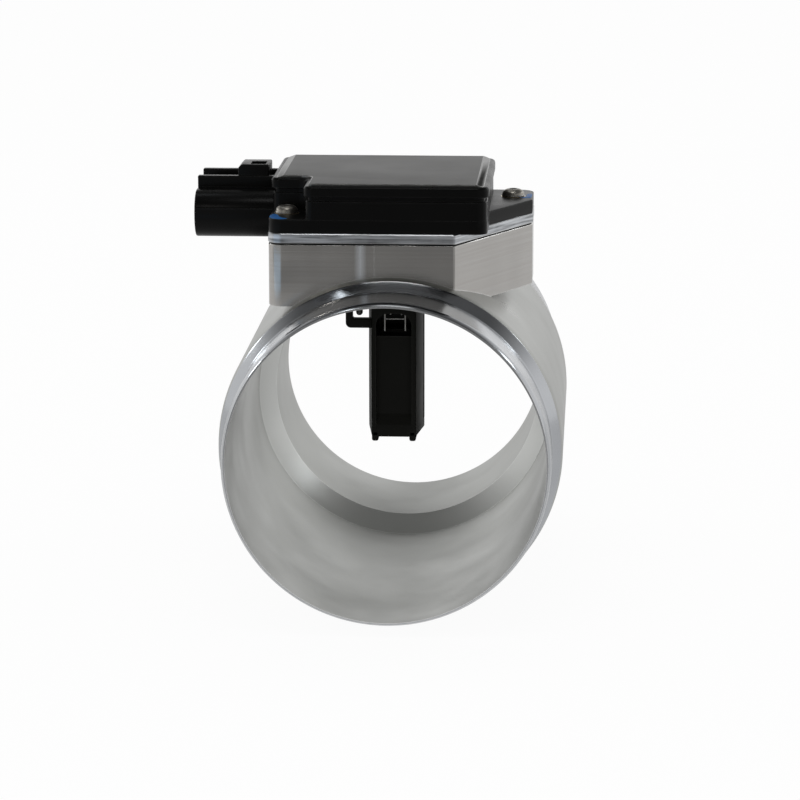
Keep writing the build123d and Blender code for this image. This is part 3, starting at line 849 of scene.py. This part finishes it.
@dataclass
class SensorHousing:
    """The black electronics housing with its connector, lid and screws."""

    left: float = -34.4
    right: float = 27.0
    front: float = 15.5
    back: float = 75.3
    low: float = 60.75
    ear_top: float = 64.65
    floor: float = 62.75
    wall_top: float = 69.85
    frame_low: float = 70.95
    frame_top: float = 74.0
    ledge: float = 72.4
    lid_top: float = 74.7
    wall: float = 2.6
    overhang: float = 0.45
    groove: float = 0.75
    frame_foot: float = 0.25
    frame_rounding: float = 1.0
    recess: float = 0.9
    notch_right: float = -23.9
    notch_back: float = 31.9
    lid_gap: float = 0.95
    bevel_start: float = 2.0
    bevel_reach: float = 2.2
    bevel_depth: float = 1.34
    sheen_flat_limit: float = 0.995
    sheen_side_limit: float = 0.1
    dab_rounding: float = 0.45
    dab_height: float = 0.08
    dab_left: tuple[Flat, ...] = (
        (-34.2, 20.0), (-33.4, 17.8), (-31.6, 16.4), (-29.8, 16.3), (-28.8, 17.4), (-30.5, 18.9), (-31.6, 21.0),
        (-32.3, 24.2), (-33.6, 26.0), (-34.2, 23.0),
    )
    dab_right: tuple[Flat, ...] = (
        (34.9, 59.3), (36.5, 58.7), (38.2, 59.2), (38.5, 62.5), (38.4, 66.5), (37.6, 68.0), (36.9, 65.2),
        (36.9, 62.0), (36.0, 60.4),
    )

    def box(self) -> list[Corner]:
        """Return the box outline's corners, counter-clockwise."""
        return [
            Corner(self.notch_right, self.front, 2.0), Corner(self.right, self.front, 3.0),
            Corner(self.right, self.back, 3.0), Corner(self.left, self.back, 3.0),
            Corner(self.left, self.notch_back, 2.0), Corner(self.notch_right, self.notch_back, 3.0),
        ]

    def base(self, flange: Flange) -> list[Corner]:
        """Return the base flange's corners: the flange outline and the box's rectangle in one."""
        share = (self.right - flange.right + flange.cut_width) / flange.cut_width
        crossing = flange.front + share * flange.cut_depth
        return [
            Corner(flange.left, flange.front, flange.square_radius), Corner(self.right, flange.front, 3.0),
            Corner(self.right, crossing, 0.5),
            Corner(flange.right, flange.front + flange.cut_depth, flange.cut_radius),
            Corner(flange.right, flange.back, flange.square_radius),
            Corner(flange.left, flange.back, flange.square_radius),
        ]

    def build(self, flange: Flange, screws: Fasteners) -> None:
        """Build housing, connector, lid, screws and paint dabs."""
        housing = prism("sensor_housing_body", self.base(flange), Facing.XY,
                        rounded_levels(self.low, self.ear_top, 0.15, 0.35), steps=10)
        levels = [(self.low + 0.5, 0.06), (self.wall_top - 0.25, 0.1), (self.wall_top, 0.3),
                  (self.wall_top, self.groove), (self.frame_low, self.groove),
                  (self.frame_low, self.frame_foot - self.overhang),
                  (self.frame_low + self.frame_foot, -self.overhang)]
        levels += [(z, inset - self.overhang) for z, inset in
                   rounded_levels(self.frame_low, self.frame_top, 0.0, self.frame_rounding, 5)[1:]]
        join_prism(housing, Join.ADD, self.box(), Facing.XY, levels, 8)
        join_prism(housing, Join.CUT, self.box(), Facing.XY, [(self.ledge, self.recess), (80, self.recess)], 8)
        join_prism(housing, Join.CUT, self.box(), Facing.XY, [(self.floor, self.wall), (73, self.wall)], 8)
        Connector().add_to(housing)
        screws.drill(housing, screws.bushing, self.low - 1, self.ear_top + 1)
        finish_piece(housing, [MATERIALS["housing_black"]], ["sensor_housing"], angle=38)
        self.build_lid()
        self.build_screws(screws)
        self.build_paint()

    def build_lid(self) -> None:
        """Build the bevelled metal lid, with painted sheen on its side bevels."""
        levels = [(z, inset + self.lid_gap) for z, inset in rounded_levels(self.ledge, self.lid_top, 0.0, 0.3, 3)]
        lid = prism("metal_lid", self.box(), Facing.XY, levels, steps=8)
        for edge, turn in ((self.left + self.lid_gap, 1), (self.right - self.lid_gap, -1)):
            outside, inside = edge - turn * self.bevel_start, edge + turn * self.bevel_reach
            places = ((outside, 0.5), (outside, -self.bevel_depth), (inside, 0.0), (inside, 0.5))
            corners = [Corner(u, self.lid_top + above, 0.05) for u, above in places]
            ordered = corners if turn > 0 else corners[::-1]
            join_prism(lid, Join.CUT, ordered, Facing.XZ, [(10, 0), (80, 0)], 1)
        soften(lid, 0.22, 2, 12)
        for name in ("lid_cast", "lid_bevel_sheen"):
            lid.data.materials.append(MATERIALS[name])
        # Painted sheen: faces that tilt to the left or right, the side bevels and side edges, get the lighter metal
        # that stands for the sheen they catch; the top, front and back stay plain.
        for face in lid.data.polygons:
            plain = face.normal.z > self.sheen_flat_limit or abs(face.normal.x) < self.sheen_side_limit
            face.material_index = 0 if plain else 1
        finish_piece(lid, [], ["lid"], angle=40)

    def build_screws(self, screws: Fasteners) -> None:
        """Build both dome-headed screws as one piece."""
        seat = self.ear_top
        top, tip = seat + screws.head_height, seat - screws.shank_length
        reach, rise = screws.dome
        arc = [math.pi / 2 * k / screws.dome_steps for k in range(screws.dome_steps + 1)]
        dome = [(screws.head - 0.1 - reach * (1 - math.cos(a)), top - rise * (1 - math.sin(a))) for a in arc]
        profile = [(0, tip), (screws.shank - 0.4, tip), (screws.shank, tip + 0.6), (screws.shank, seat),
                   (screws.head - 0.15, seat), (screws.head, seat + 0.15), (screws.head, seat + 0.4), *dome,
                   (0, top)]
        turns = [math.pi / 3 * k for k in range(6)]
        both = None
        for u, v in screws.places:
            screw = lathe("mounting_screws_pair", profile, (u, v), True, 40)
            hexagon = [Corner(u + screws.socket * math.cos(a), v + screws.socket * math.sin(a), 0.05) for a in turns]
            join_prism(screw, Join.CUT, hexagon, Facing.XY, [(top - screws.socket_depth, 0), (top + 1, 0)], 1)
            both = screw if both is None else combine(both, screw, Join.ADD)
        finish_piece(both, [MATERIALS["screw_steel"]], ["mounting_screws"])

    def build_paint(self) -> None:
        """Lay the thin dabs of locking paint beside the screws."""
        for name, outline in (("paint_dab_left", self.dab_left), ("paint_dab_right", self.dab_right)):
            corners = [Corner(u, v, self.dab_rounding) for u, v in outline]
            levels = [(self.ear_top - 0.05, 0.02), (self.ear_top + self.dab_height / 2, 0.0),
                      (self.ear_top + self.dab_height, 0.25)]
            finish_piece(prism(name, corners, Facing.XY, levels, steps=4), [MATERIALS["paint_blue"]],
                         [])


@dataclass
class Connector:
    """The oval connector shroud with its key ribs and latch tower."""

    mouth: float = -57.5
    root: float = -34.0
    floor: float = -40.0
    near: float = 38.3
    far: float = 76.3
    low: float = 55.1
    high: float = 68.7
    radius: float = 6.6
    wall: float = 1.6
    parting: float = 64.0
    parting_step: float = 0.14
    ribs: Flat = (48.5, 62.7)
    rib_width: float = 2.4

    def add_to(self, housing: Piece) -> None:
        """Join the connector to the housing and cut its socket."""
        outline = rectangle(self.near, self.low, self.far, self.high, self.radius)
        rings = []
        for x, inset in [(self.mouth, 0.35), (self.mouth + 0.12, 0.1), (self.mouth + 0.45, 0.0), (self.root, 0.0)]:
            ring = []
            for y, z in rounded_outline(outline, inset, 16):
                near_end = y < self.near + self.radius or y > self.far - self.radius
                if z > self.parting and near_end:
                    y += self.parting_step if y > (self.near + self.far) / 2 else -self.parting_step
                ring.append((x, y, z))
            rings.append(ring)
        combine(housing, loft("shroud", rings), Join.ADD)
        seam = rectangle(self.mouth + 0.1, self.near + 0.08, self.root, self.far - 0.08, 0.2)
        join_prism(housing, Join.ADD, seam, Facing.XY, [(63.82, 0.08), (63.9, 0.0), (63.98, 0.0), (64.06, 0.08)], 3)
        lead_in = self.wall - 0.3
        levels = [(self.mouth - 1, lead_in), (self.mouth, lead_in), (self.mouth + 0.4, self.wall),
                  (self.floor, self.wall)]
        join_prism(housing, Join.CUT, outline, Facing.YZ, levels, 12)
        join_prism(housing, Join.CUT, rectangle(-35.1, 10, -33.9, 80), Facing.XY, [(50, 0), (60.75, 0)], 1)
        for front in self.ribs:
            rib = rectangle(self.mouth + 0.02, front, -34.2, front + self.rib_width, 0.35)
            join_prism(housing, Join.ADD, rib, Facing.XY, rounded_levels(67.3, 72.0, 0.0, 0.35), 3)
        tower = [Corner(-45.9, 67.2, 0.2), Corner(-37.0, 67.2, 0.2), Corner(-37.0, 75.2, 0.4),
                 Corner(-44.9, 75.2, 0.5), Corner(-45.9, 74.2, 0.5)]
        join_prism(housing, Join.ADD, tower, Facing.XZ, rounded_levels(49.5, 60.3, 0.35, 0.35, 4), 5)
        window = rectangle(-42.4, 50.5, -38.0, 56.5, 0.3)
        join_prism(housing, Join.CUT, window, Facing.XY, [(72.6, 0), (76, 0)], 3)


@dataclass
class SamplingTube:
    """The black sampling tube with its sensing parts."""

    centre: float = -0.4
    front: float = 38.0
    back: float = 53.5
    cover: float = 51.7
    front_width: float = 12.7
    back_width: float = 16.3
    low: float = -2.1
    shoulder: float = 34.5
    cover_low: float = 0.5
    neck_half: float = 6.34
    plug_low: float = 46.75
    plug_high: float = 60.7
    leg_place: float = 5.4
    leg_half: float = 0.95
    recess_half: float = 5.1
    channel_half: float = 4.0
    channel_back: float = 51.69
    prongs: tuple[tuple[Flat, float], ...] = (
        ((-3.05, 39.9), 28.6), ((2.85, 39.9), 28.6), ((-1.7, 44.6), 32.4), ((1.5, 44.6), 32.4),
    )
    prong_radius: float = 0.32
    prong_high: float = 66.35
    bead_place: Flat = (-10.5, 42.1)

    def slice(self, y0: float, y1: float, radius: float) -> list[Corner]:
        """Return the corners of the tapered section between two stations."""
        spread = (self.back_width - self.front_width) / 2 / (self.back - self.front)
        a = self.front_width / 2 + spread * (y0 - self.front)
        b = self.front_width / 2 + spread * (y1 - self.front)
        return [Corner(self.centre - a, y0, radius), Corner(self.centre + a, y0, radius),
                Corner(self.centre + b, y1, radius), Corner(self.centre - b, y1, radius)]

    def build(self, opening: Opening) -> None:
        """Build the tube, its cover and the sensing parts."""
        body = prism("sampling_tube_body", self.slice(self.front, self.cover + 0.001, 0.5), Facing.XY,
                     rounded_levels(self.low, self.shoulder, 0.5, 0.3), steps=4)
        middle = self.centre
        neck = rectangle(middle - self.neck_half, self.front + 0.03, middle + self.neck_half, self.back - 0.03, 0.5)
        join_prism(body, Join.ADD, neck, Facing.XY, [(33.8, 0), (48, 0)], 4)
        join_prism(body, Join.ADD, opening.corners(-0.02), Facing.XY,
                   rounded_levels(self.plug_low, self.plug_high, 0.4, 0.0))
        join_prism(body, Join.ADD, self.slice(self.front + 1, self.back, 0.5), Facing.XY,
                   rounded_levels(self.low + 0.02, self.cover_low, 0.4, 0.0), 4)
        for side in (-1, 1):
            u = middle + side * self.leg_place
            leg = [Corner(u - self.leg_half, -3.3, 0.6), Corner(u + self.leg_half, -3.3, 0.6),
                   Corner(u + self.leg_half, -0.5, 0.2), Corner(u - self.leg_half, -0.5, 0.2)]
            join_prism(body, Join.ADD, leg, Facing.XZ, rounded_levels(38.0, 45.0, 0.3, 0.3), 5)
        cage = [Corner(-14.4, 47.5, 0.1), Corner(-14.4, 29.3, 1.5), Corner(-4.0, 29.3, 0.1),
                Corner(-4.0, 32.0, 0.1), Corner(-12.4, 32.0, 0.5), Corner(-12.4, 47.5, 0.1)]
        join_prism(body, Join.ADD, cage, Facing.XZ, rounded_levels(40.6, 43.6, 0.35, 0.35))
        left, right = middle - self.recess_half, middle + self.recess_half
        recess = [Corner(37.0, -0.4, 0.05), Corner(38.0, 1.4, 0.05), Corner(40.4, 4.4, 0.3),
                  Corner(40.4, 28.0, 0.1), Corner(37.0, 28.0, 0.1)]
        join_prism(body, Join.CUT, recess, Facing.YZ, [(left, 0), (right, 0)], 3)
        pocket = [Corner(left, 27.1, 0.1), Corner(right, 27.1, 0.1), Corner(right, 34.1, 3.6), Corner(left, 34.1, 3.6)]
        join_prism(body, Join.CUT, pocket, Facing.XZ, [(37.0, 0), (self.channel_back, 0)], 8)
        channel = rectangle(middle - self.channel_half, 46.5, middle + self.channel_half, self.channel_back)
        join_prism(body, Join.CUT, channel, Facing.XY, [(-5, 0), (28, 0)], 1)
        finish_piece(body, [MATERIALS["probe_black"]], ["sampling_tube"], angle=40)
        cover = prism("bypass_cover_plate", self.slice(self.cover, self.back, 0.35), Facing.XY,
                      rounded_levels(self.cover_low, self.shoulder, 0.3, 0.0), steps=4)
        finish_piece(cover, [MATERIALS["probe_black"]], ["bypass_cover"])
        self.build_sensors()

    def build_sensors(self) -> None:
        """Build the prongs and the bead."""
        prongs = None
        for place, low in self.prongs:
            profile = [(0, low), (0.2, low + 0.02), (self.prong_radius, low + 0.2),
                       (self.prong_radius, self.prong_high), (0, self.prong_high)]
            prong = lathe("prong_rods", profile, place, True, 20)
            prongs = prong if prongs is None else combine(prongs, prong, Join.ADD)
        finish_piece(prongs, [MATERIALS["prong_steel"]], ["sensing_prongs"])
        drop = [(0, 32.8), (0.45, 32.88), (0.85, 33.25), (1.0, 33.8), (0.95, 34.4), (0.7, 35.0), (0.35, 35.35),
                (0, 35.4)]
        bead = lathe("thermistor_bead_drop", drop, self.bead_place, True, 32)
        finish_piece(bead, [MATERIALS["bead_glaze"]], ["thermistor_bead"], angle=60)


class InnerParts:
    """CAD nodes that keep their shape and get a finish."""

    PLAN = {
        "base_gasket": "seal_black", "housing_seal": "seal_black", "lid_seal": "seal_black",
        "ear_bushings": "bushing_brass", "connector_terminals": "tinned_blade", "hot_wire": "prong_steel",
        "cold_wire": "bead_glaze", "thermistor_leads": "prong_steel", "heat_spreader": "plate_edge",
        "circuit_board": "board_ceramic", "control_chip": "chip_black", "board_components": "component_tan",
        "terminal_jumpers": "tinned_blade", "sensor_jumpers": "tinned_blade",
    }

    def dress(self) -> None:
        """Give each node its material."""
        for name, finish in self.PLAN.items():
            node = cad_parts[name]
            node.data.materials.clear()
            node.data.materials.append(MATERIALS[finish])
            LOG.info("%s: CAD shape in %s", name, finish)


@dataclass(frozen=True)
class Lamp:
    """A soft area lamp that looks at a target, in metres and watts."""

    name: str
    place: Point
    target: Point
    size: Flat
    power: float
    tint: Colour = (1.0, 1.0, 1.0)

    def hang(self) -> None:
        """Add the lamp to the scene."""
        data = bpy.data.lights.new(self.name, "AREA")
        data.color = self.tint
        data.shape = "RECTANGLE"
        data.size, data.size_y = self.size
        data.energy = self.power
        lamp = bpy.data.objects.new(self.name, data)
        lamp.location = self.place
        lamp.rotation_euler = (Vector(self.target) - Vector(self.place)).to_track_quat("-Z", "Y").to_euler()
        bpy.context.scene.collection.objects.link(lamp)


@dataclass
class Studio:
    """Floor, lights, surroundings and camera."""

    eye: Point = (0.0587084, -0.9616190, 0.2206505)
    yaw: float = 0.05728
    pitch: float = 0.20847
    roll: float = -0.00083
    lens: float = 160.04
    sensor: float = 36.0
    floor_level: float = -0.0487
    floor_half: float = 6.0
    floor_share: float = 0.95
    floor_tone: float = 0.78
    floor_reach: Flat = (-0.45, 0.05)
    world_reach: Flat = (-0.75, 0.1)
    fill: float = 0.8
    front_tone: float = 0.24
    zenith_tone: float = 0.12
    zenith_reach: Flat = (0.25, 0.75)
    side_reach: float = 0.3
    side_share: float = 0.5
    lamps: tuple[Lamp, ...] = (
        Lamp("left_window", (-0.24, -0.19, 0.0), (-0.034, 0.0155, 0.0), (0.32, 0.09), 0.035, (0.4, 0.68, 1.0)),
        Lamp("top_softbox", (0.0, -0.36, 1.25), (0.0, 0.05, 0.0), (0.5, 0.22), 1.8),
        Lamp("rear_softbox", (0.0, 0.52, 1.1), (0.0, 0.05, 0.0), (0.3, 0.24), 0.25),
        Lamp("streak_lamp", (-0.38, 0.3, 1.0), (0.0, 0.0, 0.04), (0.2, 0.1), 0.24, (0.9, 0.96, 1.0)),
        Lamp("left_rear_lamp", (-0.96, 0.57, 0.43), (0.0, 0.0, 0.02), (0.14, 0.14), 0.4, (0.93, 0.97, 1.0)),
        Lamp("right_rear_lamp", (0.83, 0.68, 0.55), (0.0, 0.0, 0.02), (0.14, 0.14), 0.4, (0.93, 0.97, 1.0)),
        Lamp("small_lamp", (-0.5, -0.9, 0.75), (0.0, 0.03, 0.02), (0.05, 0.05), 0.35, (1.0, 0.97, 0.92)),
    )

    def build(self) -> None:
        """Set up everything round the object."""
        self.camera()
        self.floor()
        self.world()
        for lamp in self.lamps:
            lamp.hang()
        bpy.context.scene.view_settings.view_transform = "Standard"

    def camera(self) -> None:
        """Place the camera where the photograph was taken."""
        c, s = math.cos(self.yaw), math.sin(self.yaw)
        ahead, right, up = Vector((-s, c, 0)), Vector((c, s, 0)), Vector((0, 0, 1))
        forward = math.cos(self.pitch) * ahead - math.sin(self.pitch) * up
        above = math.sin(self.pitch) * ahead + math.cos(self.pitch) * up
        side = math.cos(self.roll) * right + math.sin(self.roll) * above
        top = -math.sin(self.roll) * right + math.cos(self.roll) * above
        data = bpy.data.cameras.new("photo_camera")
        data.lens = self.lens
        data.sensor_width = self.sensor
        data.clip_start, data.clip_end = 0.05, 20.0
        eye = bpy.data.objects.new("photo_camera", data)
        bpy.context.scene.collection.objects.link(eye)
        rotation = Matrix((side, top, -forward)).transposed().to_4x4()
        eye.matrix_world = Matrix.Translation(self.eye) @ rotation
        bpy.context.scene.camera = eye

    def floor(self) -> None:
        """Lay the pale floor, white to the camera and pale to reflections, with a soft shadow kept."""
        mesh = bpy.data.meshes.new("floor")
        half, level = self.floor_half, self.floor_level
        corners = [(-half, -half, level), (half, -half, level), (half, half, level), (-half, half, level)]
        mesh.from_pydata(corners, [], [(0, 1, 2, 3)])
        floor = bpy.data.objects.new("floor", mesh)
        bpy.context.scene.collection.objects.link(floor)
        material = bpy.data.materials.new("pale_floor")
        material.use_nodes = True
        tree = material.node_tree
        shader = tree.nodes["Principled BSDF"]
        shader.inputs["Base Color"].default_value = (0.8, 0.8, 0.8, 1.0)
        shader.inputs["Roughness"].default_value = 0.9
        shader.inputs["Specular IOR Level"].default_value = 0.0
        glow = tree.nodes.new("ShaderNodeEmission")
        place = tree.nodes.new("ShaderNodeTexCoord")
        self.darker_in_front(tree, place.outputs["Object"], self.floor_reach, self.floor_tone, glow.inputs["Color"])
        self.mix_in(tree, shader, glow, self.floor_share, tree.nodes["Material Output"])
        mesh.materials.append(material)

    def world(self) -> None:
        """Make the surroundings white to the camera, graded to reflections, and a plain soft fill otherwise."""
        world = bpy.data.worlds.new("studio")
        bpy.context.scene.world = world
        world.use_nodes = True
        tree = world.node_tree
        fill = tree.nodes["Background"]
        fill.inputs["Color"].default_value = (1.0, 1.0, 1.0, 1.0)
        fill.inputs["Strength"].default_value = self.fill
        white = tree.nodes.new("ShaderNodeBackground")
        place = tree.nodes.new("ShaderNodeTexCoord")
        self.darker_in_front(tree, place.outputs["Generated"], self.world_reach, 1.0, white.inputs["Color"])
        self.mix_in(tree, fill, white, 1.0, tree.nodes["World Output"])

    def mix_in(
        self, tree: Tree, plain: bpy.types.Node, shown: bpy.types.Node, share: float, end: bpy.types.Node
    ) -> None:
        """Give camera, glossy and transmission rays the shown shader, and all other rays the plain one.

        Args:
            tree: node tree of the floor or the world.
            plain: the shader for all other rays.
            shown: the shader that is shown.
            share: how much of the shown shader those rays get.
            end: the output node.
        """
        path = tree.nodes.new("ShaderNodeLightPath")
        first = calc(tree, "MAXIMUM", path.outputs["Is Camera Ray"], path.outputs["Is Glossy Ray"])
        seen = calc(tree, "MAXIMUM", first, path.outputs["Is Transmission Ray"])
        mix = tree.nodes.new("ShaderNodeMixShader")
        tree.links.new(calc(tree, "MULTIPLY", seen, share), mix.inputs["Fac"])
        tree.links.new(plain.outputs[0], mix.inputs[1])
        tree.links.new(shown.outputs[0], mix.inputs[2])
        tree.links.new(mix.outputs[0], end.inputs["Surface"])

    def darker_in_front(self, tree: Tree, place: Socket, reach: Flat, peak: float, target: Socket) -> None:
        """Feed a colour that is white to the camera, and darker in front and overhead to reflections.

        Args:
            tree: node tree of the floor or the world.
            place: position on the floor, or direction in the world.
            reach: the Y at which it is darkest, and the Y from which it is lightest.
            peak: the lightest tone in reflections.
            target: the colour socket.
        """
        axes = split_axes(tree, place)
        ahead = self.ramp(tree, axes["Y"], reach, (self.front_tone, peak))
        overhead = self.ramp(tree, axes["Z"], self.zenith_reach, (1.0, self.zenith_tone))
        beside = calc(tree, "ABSOLUTE", axes["X"])
        sides = self.ramp(tree, beside, (0.0, self.side_reach), (0.0, self.side_share * peak), "LINEAR")
        lit = calc(tree, "MULTIPLY", calc(tree, "MAXIMUM", ahead, sides), overhead)
        path = tree.nodes.new("ShaderNodeLightPath")
        tree.links.new(calc(tree, "MAXIMUM", lit, path.outputs["Is Camera Ray"]), target)

    def ramp(self, tree: Tree, value: Socket, reach: Flat, tones: Flat, kind: str = "SMOOTHSTEP") -> Socket:
        """Turn a value's reach into a run of tones."""
        node = tree.nodes.new("ShaderNodeMapRange")
        node.interpolation_type = kind
        node.inputs["From Min"].default_value, node.inputs["From Max"].default_value = reach
        node.inputs["To Min"].default_value, node.inputs["To Max"].default_value = tones
        tree.links.new(value, node.inputs["Value"])
        return node.outputs["Result"]


def main() -> None:
    """Build every sub-assembly."""
    logging.basicConfig(level=logging.INFO, format="%(name)s %(message)s")
    MATERIALS.update({finish.name: finish.make() for finish in FINISHES})
    flange, screws, opening = Flange(), Fasteners(), Opening()
    Studio().build()
    Duct().build(flange, screws, opening)
    MountingPlate().build(flange, screws, opening)
    SensorHousing().build(flange, screws)
    SamplingTube().build(opening)
    InnerParts().dress()
    bpy.context.view_layer.update()


if __name__ == "__main__":
    main()
